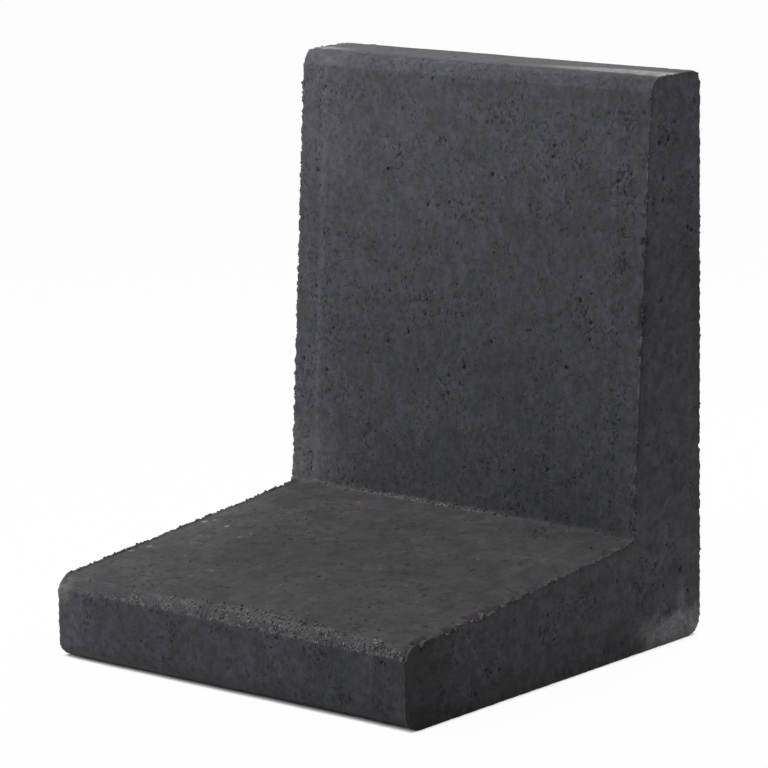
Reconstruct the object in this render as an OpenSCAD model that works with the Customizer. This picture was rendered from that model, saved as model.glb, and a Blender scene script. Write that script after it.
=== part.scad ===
// L-shaped retaining wall element: an upright stem on a foot, cast in concrete as one piece.
// Millimetres. X runs along the wall, the toe points to -Y, the exposed back is the +Y face,
// and the element stands on Z = 0 with its origin at the middle of the base.

/* [Element] */
// Length of one element along the wall
element_length = 396; // [150:1:1200]
// Height from the bed to the top of the stem
element_height = 500; // [300:1:1000]
// Depth from the tip of the toe to the exposed back
element_depth = 405; // [250:1:900]

/* [Stem] */
// Thickness at the top of the stem
stem_top_thickness = 71; // [50:1:90]
// Thickness at the root of the stem, where it meets the foot
stem_root_thickness = 99; // [91:1:150]

/* [Foot] */
// Height at the toe
toe_height = 74; // [50:1:90]
// Height at the root, where the foot meets the stem
foot_root_height = 104; // [91:1:160]

/* [Long edges] */
// Radius of the stem's top edge on the side of the fill
top_fill_radius = 16; // [3:1:24]
// Radius of the stem's top edge on the exposed back
top_back_radius = 9; // [3:1:20]
// Radius of the bottom edge under the exposed back
heel_radius = 16; // [3:1:40]
// Radius of the toe's upper edge
toe_top_radius = 16; // [3:1:22]
// Radius of the toe's lower edge
toe_bottom_radius = 14; // [3:1:22]
// Radius of the hollow corner between the stem and the foot
root_radius = 4; // [2:1:40]

/* [End margins] */
// Width of the margin at each end, where the fill side falls away to the end face
margin_width = 35; // [10:1:60]
// Depth that the fill side falls by at the end face
margin_fall = 2.5; // [0.5:0.1:5]

/* [Hidden] */

concrete_colour = [0.27, 0.28, 0.30];
// Flats that stand for each rounded edge
arc_steps = 12;
// How far a cutting form reaches past the faces that it cuts
overrun = 5;
// Gap under the cutting form at its inner side, which keeps it clear of the uncut face
feather_gap = 0.1;

// The section as (depth, height) from the foot of the toe, with its fill side fallen back:
// each sharp corner in order round the L, and the radius of its edge.
function corners(fall) = [
    [[element_depth, 0], heel_radius],
    [[element_depth, element_height], top_back_radius],
    [[element_depth - stem_top_thickness + fall, element_height], top_fill_radius],
    [[element_depth - stem_root_thickness + fall, foot_root_height - fall], root_radius],
    [[fall, toe_height - fall], toe_top_radius],
    [[fall, 0], toe_bottom_radius],
];
// The corners of the fill side, from the top of the stem down to the toe's lower edge
fill_side = [2 : 5];

// Direction of length 1 from one point to another
function heading(from, to) = (to - from) / norm(to - from);

// Points of the arc that touches both sides of a corner, hollow or outward alike
function arc_points(previous, corner, next, radius) =
    let (side_a = heading(corner, previous),
         side_b = heading(corner, next),
         half_angle = acos(side_a * side_b) / 2,
         touch = radius / tan(half_angle),
         centre = corner + heading([0, 0], side_a + side_b) * radius / sin(half_angle),
         from = corner + side_a * touch - centre,
         to = corner + side_b * touch - centre,
         turn = atan2(cross(from, to), from * to))
    [for (step = [0 : arc_steps])
        let (angle = atan2(from.y, from.x) + turn * step / arc_steps)
        centre + radius * [cos(angle), sin(angle)]];

// The outline's points round the corners whose numbers are given
function outline(which, fall = 0) =
    let (sharp = corners(fall), count = len(sharp))
    [for (i = which)
        each arc_points(sharp[(i + count - 1) % count][0], sharp[i][0],
                        sharp[(i + 1) % count][0], sharp[i][1])];

// The fill side's outline in the plane at x, and the same moved clear of the section
function face_ring(x, fall) =
    [for (point = outline(fill_side, fall)) [x, point.x, point.y]];
function clear_ring(x, fall) =
    let (face = face_ring(x, fall), toe_bottom_start = len(face) - arc_steps - 1)
    [for (i = [0 : len(face) - 1])
        face[i] + [0, -overrun, i < toe_bottom_start ? overrun : -overrun]];

// The form that cuts one end's margin: nothing at its inner side, and the full fall at the end
module margin_form() {
    inner_x = element_length / 2 - margin_width;
    outer_x = element_length / 2 + overrun;
    fall_per_mm = (margin_fall + feather_gap) / margin_width;
    outer_fall = margin_fall + fall_per_mm * overrun;
    rings = [face_ring(inner_x, -feather_gap), face_ring(outer_x, outer_fall),
             clear_ring(outer_x, outer_fall), clear_ring(inner_x, -feather_gap)];
    count = len(rings[0]);
    polyhedron(
        [for (ring = rings) each ring],
        concat(
            [for (r = [0 : 3]) for (i = [0 : count - 2])
                let (next = (r + 1) % 4)
                each [[r * count + i, r * count + i + 1, next * count + i + 1],
                      [r * count + i, next * count + i + 1, next * count + i]]],
            [[0, count, 2 * count], [0, 2 * count, 3 * count]],
            [[count - 1, 4 * count - 1, 3 * count - 1], [count - 1, 3 * count - 1, 2 * count - 1]]));
}

// The whole element: the section carried along the wall, less the margin forms at both ends
module wall_element() {
    color(concrete_colour)
        translate([0, -element_depth / 2, 0])
            difference() {
                rotate([90, 0, 90])
                    linear_extrude(element_length, center = true)
                        polygon(outline([0 : 5]));
                margin_form();
                mirror([1, 0, 0]) margin_form();
            }
}

wall_element();
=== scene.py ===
import math

import bmesh
import bpy
from mathutils import Matrix, Vector


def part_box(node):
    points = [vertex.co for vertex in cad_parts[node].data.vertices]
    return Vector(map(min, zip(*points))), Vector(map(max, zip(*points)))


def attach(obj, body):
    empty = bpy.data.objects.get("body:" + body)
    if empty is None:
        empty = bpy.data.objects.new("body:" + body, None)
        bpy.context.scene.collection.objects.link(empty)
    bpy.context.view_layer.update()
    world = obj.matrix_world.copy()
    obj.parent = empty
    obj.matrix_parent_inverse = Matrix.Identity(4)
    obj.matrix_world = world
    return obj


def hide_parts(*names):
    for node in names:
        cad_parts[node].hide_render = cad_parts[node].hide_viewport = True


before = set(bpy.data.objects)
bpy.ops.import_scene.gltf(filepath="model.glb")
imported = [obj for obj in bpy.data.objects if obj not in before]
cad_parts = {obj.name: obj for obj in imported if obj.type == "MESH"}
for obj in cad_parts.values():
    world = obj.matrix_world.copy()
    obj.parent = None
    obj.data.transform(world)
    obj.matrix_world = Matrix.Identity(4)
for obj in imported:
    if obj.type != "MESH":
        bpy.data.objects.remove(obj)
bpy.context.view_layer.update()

# ---------------------------------------------------------------- cast block
# The whole element is one block of earth-moist concrete with a black pigment, shaken and rammed
# in a steel mould and stripped at once. Its skin keeps air voids, its end arrises and the rim of
# its toe come out crumbly, and it has no core, lifting eye or fixing of any kind.
MM = 0.001
low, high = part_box("wall_element")
half_length = high.x
toe_line, back_line = low.y, high.y
top_line = high.z
lip_line = back_line - 55 * MM  # where the flat top ends and its front edge starts to round
root_line = back_line - 99 * MM  # where the face of the stem meets the foot
root_height = 104 * MM
margin_line = half_length - 35 * MM  # where the face starts to fall back to the end
ridge_line = margin_line + 2.5 * MM  # the middle of the faint ridge beside that line
skin_step = 1.5 * MM  # the size of the cells that the skin is rebuilt from
skin_triangles = 190000

# Places where the concrete is most open, as (along the wall, depth, height, reach) in millimetres.
OPEN_PLACES = (
    (178, 128, 462, 12), (176, 125, 415, 14), (175, 120, 340, 12), (80, 123, 380, 10),
    (-30, 126, 430, 8), (70, 105, 130, 9), (130, 106, 145, 9), (198, 158, 450, 22),
    (198, 184, 396, 12), (198, 182, 355, 14), (198, -10, 48, 22), (198, 120, 65, 28),
    (198, 35, 60, 22), (130, -203, 21, 15), (-60, -203, 48, 10), (105, -203, 54, 15),
)


class Field:
    """A value that varies over the concrete: a node's output that can be summed like a number."""

    def __init__(self, tree, socket):
        self.tree, self.socket = tree, socket

    def sum(self, operation, *others):
        return add(self.tree, "ShaderNodeMath", dict(enumerate((self, *others))), operation=operation)

    def __add__(self, other):
        return self.sum("ADD", other)

    def __sub__(self, other):
        return self.sum("SUBTRACT", other)

    def __mul__(self, other):
        return self.sum("MULTIPLY", other)

    def most(self, other):
        return self.sum("MAXIMUM", other)

    def size(self):
        return self.sum("ABSOLUTE")

    def ramp(self, start, end, low=0.0, high=1.0):
        """Goes smoothly from low at start to high at end, and stays there on either side."""
        limits = {"Value": self, "From Min": start, "From Max": end, "To Min": low, "To Max": high}
        return add(self.tree, "ShaderNodeMapRange", limits, interpolation_type="SMOOTHSTEP")

    def within(self, start, end, soft):
        """1 between start and end, and fading to 0 over soft on the outside of both."""
        return self.ramp(start - soft, start) * self.ramp(end + soft, end)


def add(tree, kind, inputs, output=0, **settings):
    """Adds a node whose inputs are numbers or fields, and gives one of its outputs as a field."""
    node = tree.nodes.new(kind)
    for name, value in settings.items():
        setattr(node, name, value)
    for name, value in inputs.items():
        if isinstance(value, Field):
            tree.links.new(value.socket, node.inputs[name])
        else:
            node.inputs[name].default_value = value
    return Field(tree, node.outputs[output])


def stretched(place, scales):
    return add(place.tree, "ShaderNodeVectorMath", {0: place, 1: scales}, operation="MULTIPLY")


def split(vector):
    return [add(vector.tree, "ShaderNodeSeparateXYZ", {0: vector}, output=axis) for axis in range(3)]


def noise(place, size, detail=2.0, roughness=0.5, output="Factor"):
    """Cloudy noise about 0.5, whose lumps are about size across."""
    inputs = {"Vector": place, "Scale": 1 / size, "Detail": detail, "Roughness": roughness}
    return add(place.tree, "ShaderNodeTexNoise", inputs, output=0 if output == "Factor" else 1)


def shaken(place, size, reach):
    """The place, moved about by up to reach, so that round marks come out ragged."""
    clouds = noise(place, size, output="Color")
    tree = place.tree
    centred = add(tree, "ShaderNodeVectorMath", {0: clouds, 1: (0.5, 0.5, 0.5)}, operation="SUBTRACT")
    moved = add(tree, "ShaderNodeVectorMath", {0: centred, "Scale": 2 * reach}, operation="SCALE")
    return add(tree, "ShaderNodeVectorMath", {0: place, 1: moved}, operation="ADD")


def pits(place, spacing, radius, share, soft):
    """One round mark in each cell of a net, in share of the cells: 1 in its middle, 0 at its rim."""
    tree = place.tree
    cells = {"Vector": place, "Scale": 1 / spacing}
    to_middle = add(tree, "ShaderNodeTexVoronoi", cells)
    chance, girth, _ = split(add(tree, "ShaderNodeTexVoronoi", cells, output=1))
    reach = girth.ramp(0, 1, 0.45, 1.0) * (radius / spacing)
    depth = to_middle.sum("DIVIDE", reach).ramp(1.0, soft)
    return depth * chance.sum("LESS_THAN", share)


def openness(place):
    """How open the concrete is: about 0.5 on the whole, and up to 1 where its voids are gathered."""
    open_here = noise(place, 34 * MM, detail=1.0)
    for *middle, reach in OPEN_PLACES:
        spot = {0: place, 1: [length * MM for length in middle]}
        away = add(place.tree, "ShaderNodeVectorMath", spot, output=1, operation="DISTANCE")
        open_here = open_here.most(away.ramp(1.3 * reach * MM, 0.5 * reach * MM, 0.0, 0.9))
    return open_here


def voids(place, open_here):
    """The air voids that are large enough to be shaped: taller than wide, ragged, and gathered."""
    upright = stretched(place, (1.0, 1.0, 0.7))
    ragged = shaken(upright, 2.5 * MM, 2.2 * MM)
    return pits(ragged, 6 * MM, 2.0 * MM, open_here.ramp(0.5, 0.9, 0.02, 0.7), soft=0.5)


def masks(place, facing):
    """Whether a point is on an end, on the foot's top, and on the crumbly strip of the toe's rim."""
    x, y, z = split(place)
    side, _, up = split(facing)
    on_end = side.size().ramp(0.55, 0.85)
    on_foot = up.ramp(0.3, 0.8) * z.ramp(200 * MM, 150 * MM)
    width = x.ramp(-130 * MM, 20 * MM, 3 * MM, 15 * MM) - x.ramp(60 * MM, 170 * MM, 0.0, 9 * MM)
    past_rim = (y - toe_line).sum("DIVIDE", width + (noise(place, 10 * MM) - 0.5) * (12 * MM))
    on_rim = z.ramp(61.5 * MM, 63 * MM) * past_rim.ramp(1.3, 0.6)
    on_rim = on_rim * noise(place, 12 * MM, detail=1.0).ramp(0.38, 0.52, 0.25, 1.0)
    return on_end, on_foot, on_rim * on_end.ramp(1.0, 0.0) * x.ramp(-150 * MM, -100 * MM)


def root_crumbs(place):
    """The broken line of mortar crumbs that lies in the hollow corner between foot and stem."""
    x, y, z = split(place)
    in_corner = (y - root_line).size().ramp(3 * MM, 1 * MM)
    in_corner = in_corner * z.within(root_height - 2 * MM, root_height + 2 * MM, 2 * MM)
    along = x.ramp(-155 * MM, -140 * MM, 0.3, 1.0) * x.ramp(20 * MM, 70 * MM, 1.0, 0.15)
    return in_corner * along * noise(place, 9 * MM).ramp(0.4, 0.6, 0.2, 1.0)


def looseness(place):
    """How readily an arris crumbles: most beside the foot's top, and least at the toe and base."""
    _, y, z = split(place)
    behind_toe = y.ramp(toe_line + 12 * MM, toe_line + 30 * MM, 0.1, 1.0)
    above_base = z.ramp(50 * MM, 64 * MM, 0.12, 1.0)
    up_stem = z.ramp(112 * MM, 135 * MM, 1.0, 0.45)
    return behind_toe * above_base * up_stem * y.ramp(145 * MM, 175 * MM, 1.0, 0.3)


def nicks(place):
    """The two nicks in the right arris of the stem's fill side: a short one, and a long one below."""
    x, y, z = split(place)
    short = z.within(358 * MM, 363 * MM, 2 * MM)
    long = z.within(283 * MM, 302 * MM, 6 * MM) * noise(place, 5 * MM).ramp(0.35, 0.55, 0.4, 1.0)
    return short.most(long) * x.ramp(170 * MM, 185 * MM) * y.ramp(160 * MM, 150 * MM)


def cast_copy(name):
    """A merged copy of the element's true form."""
    form = bmesh.new()
    form.from_mesh(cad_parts["wall_element"].data)
    bmesh.ops.remove_doubles(form, verts=form.verts, dist=0.01 * MM)
    mesh = bpy.data.meshes.new(name)
    form.to_mesh(mesh)
    form.free()
    piece = bpy.data.objects.new(name, mesh)
    bpy.context.scene.collection.objects.link(piece)
    return piece


def new_geometry_tree(name):
    """A tree that takes a mesh in and gives one out, and the mesh that comes in."""
    tree = bpy.data.node_groups.new(name, "GeometryNodeTree")
    for way in ("INPUT", "OUTPUT"):
        tree.interface.new_socket("Geometry", in_out=way, socket_type="NodeSocketGeometry")
    return tree, Field(tree, tree.nodes.new("NodeGroupInput").outputs[0])


def give_out(geometry):
    geometry.tree.links.new(geometry.socket, geometry.tree.nodes.new("NodeGroupOutput").inputs[0])


def kept_as(name, geometry, value, kind="FLOAT"):
    """Writes a field on the points of a mesh under a name, for the material to read."""
    inputs = {"Geometry": geometry, "Name": name, "Value": value}
    settings = {"data_type": kind, "domain": "POINT"}
    return add(geometry.tree, "GeometryNodeStoreNamedAttribute", inputs, **settings)


def settle(piece):
    """Turns what a piece's modifiers show into its mesh."""
    shown = piece.evaluated_get(bpy.context.evaluated_depsgraph_get())
    mesh = bpy.data.meshes.new_from_object(shown)
    piece.modifiers.clear()
    old = piece.data
    piece.data = mesh
    bpy.data.meshes.remove(old)


# The arrises are the outlines of the two ends, kept as bare edges to measure from. Every edge
# there turns a corner, while those between an arc's flats are blunt.
arrises = cast_copy("end_arrises")
outline = bmesh.new()
outline.from_mesh(arrises.data)
sharp_angle = math.radians(50)
blunt = [edge for edge in outline.edges
         if len(edge.link_faces) == 2 and edge.calc_face_angle() < sharp_angle]
bmesh.ops.delete(outline, geom=blunt, context="EDGES")
inner = [vert for vert in outline.verts if abs(vert.co.x) < half_length - 1 * MM]
bmesh.ops.delete(outline, geom=inner, context="VERTS")
bmesh.ops.delete(outline, geom=outline.faces[:], context="FACES_ONLY")
outline.to_mesh(arrises.data)
outline.free()

block = cast_copy("cast_block")
rebuilt = block.modifiers.new("rebuilt_skin", "REMESH")
rebuilt.mode = "VOXEL"
rebuilt.voxel_size = skin_step

# The skin as it comes out of the mould: not quite flat, rougher at the ends, with its voids, the
# ridge beside each margin, bitten arrises, and crumbs on the toe's rim and in the hollow corner.
skin, source = new_geometry_tree("skin_as_cast")
place = add(skin, "GeometryNodeInputPosition", {})
facing = add(skin, "GeometryNodeInputNormal", {})
on_end, _, on_rim = masks(place, facing)
edges = add(skin, "GeometryNodeObjectInfo", {"Object": arrises}, output="Geometry")
to_arris = add(skin, "GeometryNodeProximity", {0: edges}, output="Distance", target_element="EDGES")
loose = looseness(place)
x, y, z = split(place)

relief = (noise(place, 60 * MM) - 0.5) * (0.9 * MM)
relief += (noise(place, 8 * MM, detail=3.0) - 0.5) * (on_end * 1.2 + 0.6) * MM
relief -= voids(place, openness(place)) * (1.8 * MM)
ridge = (x.size() - ridge_line).size().ramp(4 * MM, 1.5 * MM) * on_end.ramp(1.0, 0.0)
ridge = ridge * y.ramp(toe_line + 20 * MM, toe_line + 40 * MM, 0.25, 1.0).most(x.ramp(0, 100 * MM))
relief += ridge * noise(place, 20 * MM).ramp(0.35, 0.6) * (0.45 * MM)
bitten = noise(place, 7 * MM, detail=3.0, roughness=0.65).ramp(0.52, 0.7) * loose
relief -= to_arris.ramp(5 * MM, 1 * MM) * bitten * (3.0 * MM)
relief -= to_arris.ramp(5 * MM, 1 * MM) * nicks(place) * (2.2 * MM)
toothed = noise(place, 4 * MM, detail=2.0) - 0.5
relief += to_arris.ramp(3.5 * MM, 0.5 * MM) * toothed * (loose * 4.0 + 1.2) * MM
crumbled = noise(place, 4 * MM, detail=2.5, roughness=0.65) - 0.5
relief += (on_rim * (4.0 * MM) + root_crumbs(place) * (3.0 * MM)) * crumbled

# The toe's lower edge is worn rounder than the mould makes it, most of all towards the right.
worn_radius = x.ramp(-half_length, half_length, 16 * MM, 24 * MM)
from_centre = {
    0: 0.0,
    1: (y - toe_line - worn_radius).sum("MINIMUM", 0.0),
    2: (z - worn_radius).sum("MINIMUM", 0.0),
}
from_centre = add(skin, "ShaderNodeCombineXYZ", from_centre)
worn = add(skin, "ShaderNodeVectorMath", {0: from_centre}, output=1, operation="LENGTH") - worn_radius
relief -= worn.most(0.0)

# Along the right end of the foot's top the arris has broken away, most of all near the toe.
right_arris = to_arris.ramp(9 * MM, 2 * MM) * x.ramp(150 * MM, 180 * MM)
right_arris = right_arris * z.within(66 * MM, 106 * MM, 6 * MM) * y.ramp(102 * MM, 92 * MM)
broken = noise(place, 8 * MM, detail=2.0).ramp(0.46, 0.54) * y.ramp(-10 * MM, -100 * MM, 0.4, 1.0)
sunk = right_arris * (broken * 3.6 + 0.9) * MM

push = add(skin, "ShaderNodeVectorMath", {0: facing, "Scale": relief}, operation="SCALE")
pushed = split(add(skin, "ShaderNodeVectorMath", {0: place, 1: push}, operation="ADD"))
above_bed = (pushed[2] - sunk).most(0.0)
above_bed = add(skin, "ShaderNodeCombineXYZ", {0: pushed[0], 1: pushed[1], 2: above_bed})
kept = kept_as("cast_place", source, place, kind="FLOAT_VECTOR")
kept = kept_as("cast_facing", kept, facing, kind="FLOAT_VECTOR")
kept = kept_as("to_arris", kept, to_arris)
give_out(add(skin, "GeometryNodeSetPosition", {"Geometry": kept, "Position": above_bed}))
block.modifiers.new("skin_as_cast", "NODES").node_group = skin
settle(block)

# The flat stretches need far fewer faces than the pits and the crumbly edges.
thinned = block.modifiers.new("thinned", "DECIMATE")
thinned.ratio = skin_triangles / (2 * len(block.data.polygons))
settle(block)
block.data.shade_smooth()
bpy.data.objects.remove(arrises)

# Anthracite concrete: blue-grey where the mould shaped it, browner on the foot's top, dark and
# open at the ends, with pale sand grains, rubbed arrises and a lime bloom low on one end.
concrete = bpy.data.materials.new("anthracite_concrete")
concrete.use_nodes = True
tree = concrete.node_tree
shader = tree.nodes["Principled BSDF"]


def kept_value(name, output):
    return add(tree, "ShaderNodeAttribute", {}, output=output, attribute_name=name)


def blend(share, below, above):
    """Lays one colour over another: share is how much of it shows."""
    return add(tree, "ShaderNodeMix", {0: share, 6: below, 7: above}, output=2, data_type="RGBA")


def blend_scales(share, below, above):
    return add(tree, "ShaderNodeMix", {0: share, 4: below, 5: above}, output=1, data_type="VECTOR")


place = kept_value("cast_place", "Vector")
facing = kept_value("cast_facing", "Vector")
to_arris = kept_value("to_arris", "Fac")
on_end, on_foot, on_rim = masks(place, facing)
x, y, z = split(place)
_, facing_depth, facing_up = split(facing)
off_end = on_end.ramp(1.0, 0.0)
off_foot = on_foot.ramp(1.0, 0.0)
on_face = facing_depth.ramp(-0.6, -0.9)
on_stem = on_face * y.ramp(60 * MM, 90 * MM)
on_top = facing_up.ramp(0.6, 0.95) * z.ramp(top_line - 3 * MM, top_line - 1 * MM)

stem_tone = (0.061, 0.061, 0.0722, 1)
foot_tone = (0.0698, 0.066, 0.0690, 1)
low_end_tone = (0.0505, 0.048, 0.0540, 1)
high_end_tone = (0.0512, 0.0500, 0.0615, 1)
pale_low_left_tone = (0.102, 0.100, 0.106, 1)
sand_tone = (0.25, 0.236, 0.230, 1)
lime_tone = (0.215, 0.208, 0.218, 1)
# The skim's tone is partly the paler cement skin and partly a painted sheen.
skim_and_sheen_tone = (0.24, 0.235, 0.225, 1)
stone_tone = (0.31, 0.262, 0.245, 1)

# Where stones lie bare in the foot's top, as (along the wall, depth, reach) in millimetres.
STONES_IN_FOOT = (
    (-185, -26, 4.5), (-178, -20, 3.5), (-152, -31, 4.0), (-121, -50, 2.5), (-180, -103, 4.0),
    (-187, -119, 3.5),
)

end_tone = blend(z.ramp(120 * MM, 330 * MM), low_end_tone, high_end_tone)
colour = blend(on_foot, stem_tone, foot_tone)
colour = blend(on_end, colour, end_tone)
# Paler low on the left of the stem, near the foot.
pale_low_left = x.ramp(-80 * MM, -170 * MM) * z.ramp(180 * MM, 115 * MM) * on_stem
colour = blend(pale_low_left, colour, pale_low_left_tone)

# The pigment drifts between a mauve and a green cast, and is more teal low on the stem.
red, _, blue = split(noise(place, 18 * MM, detail=1.0, output="Color"))
low_teal = z.ramp(330 * MM, 180 * MM) * x.ramp(-120 * MM, 0.0) * on_stem
red = red.ramp(0.28, 0.72, 0.92, 1.08) * low_teal.ramp(0.0, 1.0, 1.0, 0.955)
blue = (blue.ramp(0.28, 0.72, -0.04, 0.04) + red - 1.0) * (on_foot * 0.5 + 0.5) + 1.01
cast = add(tree, "ShaderNodeCombineXYZ", {0: red, 1: 1.0, 2: blue})
colour = add(tree, "ShaderNodeVectorMath", {0: colour, 1: cast}, operation="MULTIPLY")

# The press plate skims the flat top along its front and towards the ends, in a ragged streak that
# widens to the right. Its paler colour is partly the lighter cement skin and partly a painted sheen,
# the reflection that the smoother skin gives at a low angle.
past_lip = y - lip_line + (noise(place, 8 * MM) - 0.5) * (12 * MM)
streak_width = x.ramp(60 * MM, 160 * MM, 10 * MM, 20 * MM)
skim_and_sheen = past_lip.ramp(-3 * MM, 1 * MM) * (past_lip - streak_width).ramp(8 * MM, -3 * MM) * on_top
skim_and_sheen = skim_and_sheen * x.ramp(20 * MM, 140 * MM).most(x.ramp(-145 * MM, -178 * MM))
colour = blend(skim_and_sheen * noise(place, 9 * MM).ramp(0.3, 0.6, 0.4, 0.75), colour, skim_and_sheen_tone)

# The grain of the skin is drawn out upwards on the walls, and is broader and calmer on the foot,
# which was rammed flat.
drawn = blend_scales(on_end, (1.0, 1.0, 0.85), (0.9, 0.9, 1.1))
drawn = stretched(place, blend_scales(on_foot, drawn, (0.6, 0.6, 1.0)))
contrast = on_foot * -0.34 + on_end * -0.1 + 1.02
streaks = noise(drawn, 5 * MM, detail=3.0)
speckle = noise(drawn, 2.2 * MM, detail=2.0, roughness=0.6)
shade = noise(place, 70 * MM).ramp(0.3, 0.7, 0.93, 1.07)
shade *= noise(drawn, 13 * MM, detail=2.0).ramp(0.3, 0.7, 0.88, 1.12)
shade *= noise(place, 12 * MM, detail=2.0).ramp(0.35, 0.65, -0.14, 0.14) * on_end + 1.0
shade *= (streaks.ramp(0.25, 0.75, -0.21, 0.21) + speckle.ramp(0.25, 0.75, -0.11, 0.11)) * contrast + 1.0

# On the stem: the rounded front of its top edge is painted paler, a painted highlight where it
# catches the light from above. A thin ridge stands where each margin starts, at the mould's joints,
# with a painted highlight along it, beside a gutter darkened with painted shade. The margins are
# paler, and the stem is a little darker halfway up.
lip_highlight = z.ramp(top_line - 14 * MM, top_line - 12 * MM) * on_top.ramp(1.0, 0.0) * off_end
lip_highlight = lip_highlight * y.ramp(lip_line + 20 * MM, lip_line + 15 * MM)
past_ridge = x.size() - ridge_line
ridge = past_ridge.size().ramp(5 * MM, 2 * MM) * on_stem.most(on_face * x.ramp(0.0, 100 * MM, 0.0, 0.6))
ridge = ridge * noise(place, 25 * MM).ramp(0.3, 0.6, 0.4, 1.0)
gutter = past_ridge.within(8 * MM, 12 * MM, 3 * MM) * on_face
off_ends_top = off_foot * off_end
left_side = x.ramp(-130 * MM, -160 * MM) * off_ends_top
left_margin = x.ramp(-margin_line, -margin_line - 5 * MM) * on_stem
left_margin = left_margin.most(x.ramp(-180 * MM, -190 * MM) * off_ends_top)
right_margin = x.ramp(margin_line + 3 * MM, margin_line + 9 * MM) * on_face
right_rim = x.ramp(178 * MM, half_length) * off_end
halfway = z.within(260 * MM, 330 * MM, 90 * MM) * x.ramp(140 * MM, 60 * MM) * on_face

# And on the foot: paler towards the stem and down both sides, but darker where the right side
# meets the stem and near the toe. The left arris has a frayed dark fringe, partly crumbled concrete
# and partly painted shade where the edge falls away from the light. The toe's rounded upper edge
# is painted paler, a painted highlight, and its right end darker, painted shade where it turns
# away from the light.
near_root = y.ramp(-80 * MM, 60 * MM) * on_foot
near_toe = y.ramp(toe_line + 80 * MM, toe_line + 20 * MM) * on_foot
foot_left = x.ramp(-90 * MM, -150 * MM) * y.within(-70 * MM, 10 * MM, 50 * MM) * on_foot
foot_right = x.ramp(120 * MM, 180 * MM) * on_foot
foot_tip = foot_right * y.ramp(10 * MM, 90 * MM)
frayed = to_arris + (noise(place, 7 * MM) - 0.5) * (14 * MM)
fringe_shade = frayed.ramp(10 * MM, 7 * MM) * x.ramp(-120 * MM, -150 * MM) * on_foot
toe_lip_highlight = z.ramp(60.5 * MM, 62.5 * MM) * facing_up.ramp(0.95, 0.8) * off_end
toe_lip_highlight = toe_lip_highlight * y.ramp(toe_line + 20 * MM, toe_line + 16 * MM)
toe_lip_highlight = toe_lip_highlight * x.size().ramp(20 * MM, 120 * MM, 0.5, 1.0)
toe_right_shade = x.ramp(150 * MM, 178 * MM) * z.ramp(64 * MM, 60 * MM) * on_face

# And on the ends: dark at the toe, in the nicks and beside the stem's arris, and palest at the top.
end_base = z.ramp(150 * MM, 90 * MM) * on_end
end_top = z.ramp(300 * MM, 460 * MM) * on_end
toe_end = y.ramp(toe_line + 90 * MM, toe_line + 10 * MM) * on_end
beside_arris = to_arris.ramp(16 * MM, 3 * MM) * z.within(180 * MM, 320 * MM, 40 * MM) * on_end
nicked = to_arris.ramp(8 * MM, 4 * MM) * nicks(place) * on_end.ramp(0.0, 1.0, 0.7, 1.0)

# How much paler or darker each of these parts is than the concrete around it.
TONE_OF_PARTS = (
    (lip_highlight, 1.30), (ridge, 1.16), (gutter, 0.95), (left_side, 1.09), (left_margin, 1.07),
    (right_margin, 1.08), (right_rim, 1.16), (halfway, 0.87),
    (near_root, 1.18), (near_toe, 0.91), (foot_left, 1.16), (foot_right, 1.08), (foot_tip, 0.82),
    (fringe_shade, 0.62), (toe_lip_highlight, 1.35), (toe_right_shade, 0.84),
    (on_end, 0.94), (end_base, 1.17), (end_top, 1.29), (toe_end, 0.59), (beside_arris, 0.82),
    (nicked, 0.68),
)
for part, factor in TONE_OF_PARTS:
    shade *= part.ramp(0.0, 1.0, 1.0, factor)

# Air voids and smaller dark pores, the pale rims that stand between them, and bared sand grains.
# The voids and the dark dashes are painted darker, as painted shade inside the holes.
open_here = openness(place) + gutter * 0.15
pores = voids(place, open_here)
dashes = (noise(drawn, 3.1 * MM) - open_here * 0.25).ramp(0.26, 0.18) * contrast
crinkles = (noise(drawn, 2.6 * MM, detail=1.0) + open_here * 0.2).ramp(0.73, 0.85) * contrast
shade *= pores.ramp(0.0, 0.7, 1.0, 0.5)
shade *= dashes.ramp(0.0, 1.0, 1.0, 0.5)
shade *= crinkles.ramp(0.0, 1.0, 1.0, 1.3)
grains = pits(place, 3.4 * MM, 0.7 * MM, open_here.ramp(0.4, 0.75, 0.03, 0.22), soft=0.3)
stray = pits(place, 10 * MM, 1.5 * MM, on_foot * 0.22, soft=0.4)
colour = blend((grains * 0.5).most(stray * 0.9), colour, sand_tone)

# Rubbed arrises, the crumbly rim and the crumbs in the hollow corner show the paler sand.
rubbed = to_arris.ramp(3 * MM, 0.5 * MM) * noise(place, 9 * MM).ramp(0.4, 0.6) * on_end.ramp(0.6, 0.0)
sandy = noise(place, 2.4 * MM, detail=3.0, roughness=0.7).ramp(0.42, 0.6)
bared = kept_value("bared", "Fac")
for part, share in ((rubbed, 0.3), (on_rim * sandy, 0.35), (root_crumbs(place), 0.4), (bared, 1.0)):
    colour = blend(part * share, colour, sand_tone)

# A few stones lie bare beside the left arris of the foot's top.
in_foot = z.within(70 * MM, 105 * MM, 5 * MM) * on_foot
in_plan = stretched(shaken(place, 4 * MM, 2.5 * MM), (1.0, 1.0, 0.0))
for stone_x, stone_y, reach in STONES_IN_FOOT:
    spot = {0: in_plan, 1: (stone_x * MM, stone_y * MM, 0.0)}
    away = add(tree, "ShaderNodeVectorMath", spot, output=1, operation="DISTANCE")
    colour = blend(away.ramp(reach * MM, reach * 0.2 * MM) * in_foot * 0.7, colour, stone_tone)

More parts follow.
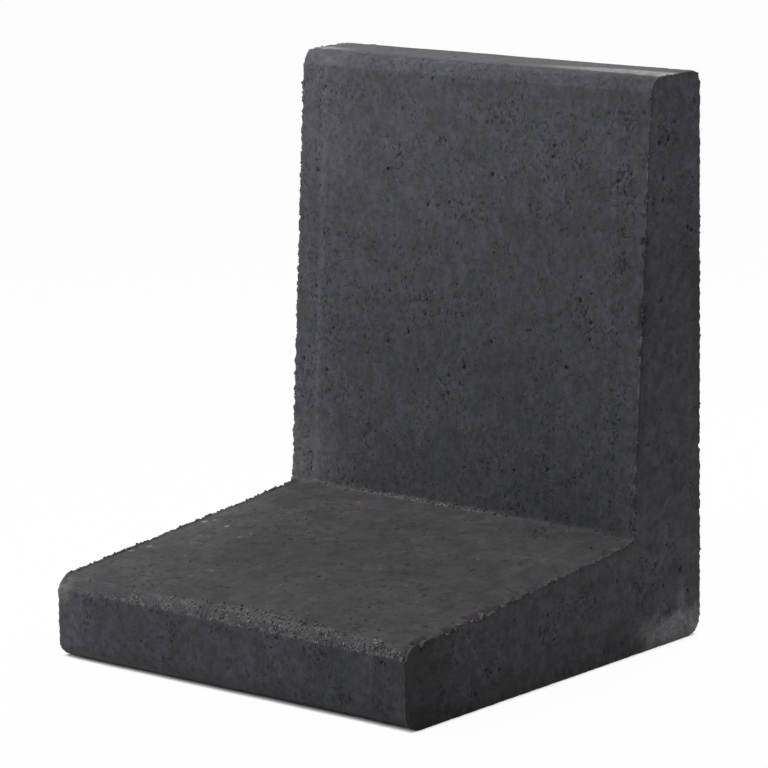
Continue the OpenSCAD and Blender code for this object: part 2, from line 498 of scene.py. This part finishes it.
# Lime has bloomed low on the right end, towards the back, with a trail above it, and on the left
# upper corner of the toe.
bloomed = noise(place, 16 * MM, detail=4.0, roughness=0.6)
wander = (bloomed - 0.5) * (70 * MM)
patch = (y + wander).ramp(105 * MM, 128 * MM) * (z + wander).ramp(36 * MM, 16 * MM)
trail = (y - 178 * MM + (z - 20 * MM) * 0.25 + wander * 0.2).size().ramp(9 * MM, 3 * MM)
trail = trail * z.ramp(62 * MM, 30 * MM)
damp = patch.most(trail * 0.5) * x.ramp(half_length - 60 * MM, half_length - 5 * MM)
damp = damp * bloomed.ramp(0.3, 0.6, 0.6, 1.0)
corner = {0: place, 1: (-half_length, toe_line, 64 * MM)}
to_corner = add(tree, "ShaderNodeVectorMath", corner, output=1, operation="DISTANCE")
chalky = damp.most(to_corner.ramp(26 * MM, 6 * MM) * 0.6)
colour = blend(chalky * 0.75, colour, lime_tone)
colour = add(tree, "ShaderNodeVectorMath", {0: colour, "Scale": shade}, operation="SCALE")

tree.links.new(colour.socket, shader.inputs["Base Color"])
roughness = skim_and_sheen.ramp(0.0, 1.0, 0.88, 0.72)
tree.links.new(roughness.socket, shader.inputs["Roughness"])
height = speckle * 0.5 + streaks * 0.5 - pores * 1.2 - dashes + crinkles * 0.4 + grains * 0.6
bump = add(tree, "ShaderNodeBump", {"Height": height, "Distance": 1 * MM, "Strength": 0.5})
tree.links.new(bump.socket, shader.inputs["Normal"])

block.data.materials.clear()
block.data.materials.append(concrete)
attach(block, "root")
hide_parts("wall_element")

# ---------------------------------------------------------------- clinging grit
# Coarse sand that did not bed in clings to the toe's rim, to the loosest arrises and in the hollow
# corner. Each grain is a small angular lump of stone, sunk to its waist in the cement skin.
grit_seed = 11
grains_per_square_metre = 400000

clinging = bpy.data.objects.new("clinging_grit", bpy.data.meshes.new("clinging_grit"))
bpy.context.scene.collection.objects.link(clinging)
grit, _ = new_geometry_tree("grit")
ground = add(grit, "GeometryNodeObjectInfo", {"Object": block}, output="Geometry")
spread = {"Mesh": ground, "Density": grains_per_square_metre, "Seed": grit_seed}
scattered = add(grit, "GeometryNodeDistributePointsOnFaces", spread)
place = add(grit, "GeometryNodeInputNamedAttribute", {"Name": "cast_place"}, data_type="FLOAT_VECTOR")
facing = add(grit, "GeometryNodeInputNamedAttribute", {"Name": "cast_facing"}, data_type="FLOAT_VECTOR")
to_arris = add(grit, "GeometryNodeInputNamedAttribute", {"Name": "to_arris"}, data_type="FLOAT")
_, on_foot, on_rim = masks(place, facing)
x, _, z = split(place)
patches = noise(place, 7 * MM).ramp(0.38, 0.58, 0.08, 0.6) * x.ramp(-120 * MM, 60 * MM, 0.45, 1.0)
patches = patches.most(z.ramp(68 * MM, 65 * MM) * x.ramp(0, 60 * MM, 0.3, 0.9))
gathered = noise(place, 30 * MM, detail=1.0).ramp(0.45, 0.62, 0.1, 0.7)
on_arris = to_arris.ramp(2.5 * MM, 0.8 * MM) * looseness(place) * gathered
left_arris = to_arris.ramp(7 * MM, 2 * MM) * x.ramp(-150 * MM, -180 * MM) * on_foot * gathered
wanted = on_rim * patches
for share in (on_arris, left_arris, root_crumbs(place) * 0.6, on_foot * 0.002):
    wanted = wanted.most(share)
wanted *= z.ramp(2 * MM, 6 * MM)
chance = add(grit, "FunctionNodeRandomValue", {"Seed": grit_seed + 1}, output=1, data_type="FLOAT")
bare = {"Geometry": scattered, "Selection": wanted.sum("LESS_THAN", chance)}
lasting = add(grit, "GeometryNodeDeleteGeometry", bare, domain="POINT")
pale = add(grit, "FunctionNodeRandomValue", {"Seed": grit_seed + 2}, output=1, data_type="FLOAT")
paleness = on_rim * 0.4 + 0.35
lasting = kept_as("bared", lasting, pale.ramp(0.2, 1.0) * paleness)
grain = add(grit, "GeometryNodeMeshIcoSphere", {"Radius": 1 * MM, "Subdivisions": 1})
sizes = {"Min": (0.5, 0.5, 0.35), "Max": (1.8, 1.5, 1.2), "Seed": grit_seed + 3}
turns = {"Min": (0, 0, 0), "Max": (2 * math.pi,) * 3, "Seed": grit_seed + 4}
lumps = {
    "Points": lasting,
    "Instance": grain,
    "Scale": add(grit, "FunctionNodeRandomValue", sizes, data_type="FLOAT_VECTOR"),
    "Rotation": add(grit, "FunctionNodeRandomValue", turns, data_type="FLOAT_VECTOR"),
}
lumps = add(grit, "GeometryNodeInstanceOnPoints", lumps)
give_out(add(grit, "GeometryNodeRealizeInstances", {0: lumps}))
clinging.modifiers.new("grit", "NODES").node_group = grit
settle(clinging)
clinging.data.materials.clear()
clinging.data.materials.append(concrete)
clinging.data.shade_smooth()
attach(clinging, "root")

# ---------------------------------------------------------------- studio
# A white board lies under the block, dark only where the two touch but for a faint wider shadow.
# Three soft boxes light it: one in front on the left, and two behind, one high and one on the
# right.
floor_mesh = bpy.data.meshes.new("studio_floor")
sheet = bmesh.new()
bmesh.ops.create_grid(sheet, x_segments=1, y_segments=1, size=20)
sheet.to_mesh(floor_mesh)
sheet.free()
floor = bpy.data.objects.new("studio_floor", floor_mesh)
bpy.context.scene.collection.objects.link(floor)
floor_material = bpy.data.materials.new("studio_white")
floor_material.use_nodes = True
nodes = floor_material.node_tree.nodes
links = floor_material.node_tree.links
nodes.clear()
out = nodes.new("ShaderNodeOutputMaterial")
mix = nodes.new("ShaderNodeMixShader")
glow = nodes.new("ShaderNodeEmission")
paint = nodes.new("ShaderNodeBsdfDiffuse")
paint.inputs["Color"].default_value = (0.85, 0.85, 0.85, 1)
path = nodes.new("ShaderNodeLightPath")
shadow_reach = 4.5 * MM
shadow_rays = 4
full_glow = 0.98  # the rest is left to the lamps, for the block's faint wider shadow
open_air = nodes.new("ShaderNodeAmbientOcclusion")
open_air.inputs["Distance"].default_value = shadow_reach
open_air.samples = shadow_rays
openly = nodes.new("ShaderNodeMapRange")
openly.inputs["To Max"].default_value = full_glow
glow_share = nodes.new("ShaderNodeMath")
glow_share.operation = "MULTIPLY"
links.new(open_air.outputs["AO"], openly.inputs["Value"])
links.new(openly.outputs[0], glow_share.inputs[1])
links.new(path.outputs["Is Camera Ray"], glow_share.inputs[0])
links.new(glow_share.outputs[0], mix.inputs["Fac"])
links.new(paint.outputs[0], mix.inputs[1])
links.new(glow.outputs[0], mix.inputs[2])
links.new(mix.outputs[0], out.inputs["Surface"])
floor_mesh.materials.append(floor_material)

# The air is white to look at, and lights the block only faintly.
air_strength = 0.1
world = bpy.data.worlds.new("studio_air")
bpy.context.scene.world = world
world.use_nodes = True
air = world.node_tree
seen = air.nodes.new("ShaderNodeLightPath")
brightness = air.nodes.new("ShaderNodeMapRange")
brightness.inputs["To Min"].default_value = air_strength
air.links.new(seen.outputs["Is Camera Ray"], brightness.inputs["Value"])
air.links.new(brightness.outputs[0], air.nodes["Background"].inputs["Strength"])
air.nodes["Background"].inputs["Color"].default_value = (1, 1, 1, 1)


def softbox(name, stand, side, watts):
    """A square lamp at its stand, turned towards the middle of the block."""
    data = bpy.data.lights.new(name, "AREA")
    data.size = side
    data.energy = watts
    lamp = bpy.data.objects.new(name, data)
    lamp.location = stand
    towards_block = Vector((0, 0, top_line / 2)) - Vector(stand)
    lamp.rotation_euler = towards_block.to_track_quat("-Z", "Y").to_euler()
    bpy.context.scene.collection.objects.link(lamp)


softbox("key_left", (-0.5, -0.5, 1.0), 0.5, 9.3)
softbox("back_high", (-0.2, 1.2, 1.4), 1.0, 20)
softbox("back_right", (1.0, 0.7, 0.7), 0.7, 3.1)

# ---------------------------------------------------------------- camera
# The camera stands well off in front, to the right and a little above, behind a long lens.
camera_data = bpy.data.cameras.new("camera")
camera = bpy.data.objects.new("camera", camera_data)
bpy.context.scene.collection.objects.link(camera)
camera_data.lens = 181.9
camera_data.sensor_width = 36
azimuth, elevation, roll = (math.radians(angle) for angle in (40.754, 11.364, 0.913))
aim = Vector((0.0005, 0.0090, 0.2321))
distance = 3.3717
level = math.cos(elevation)  # the level part of one step towards the camera
back = Vector((math.sin(azimuth) * level, -math.cos(azimuth) * level, math.sin(elevation)))
turn = back.to_track_quat("Z", "Y").to_matrix() @ Matrix.Rotation(-roll, 3, "Z")
camera.matrix_world = Matrix.Translation(aim + distance * back) @ turn.to_4x4()
bpy.context.scene.camera = camera

bpy.context.scene.view_settings.view_transform = "Standard"
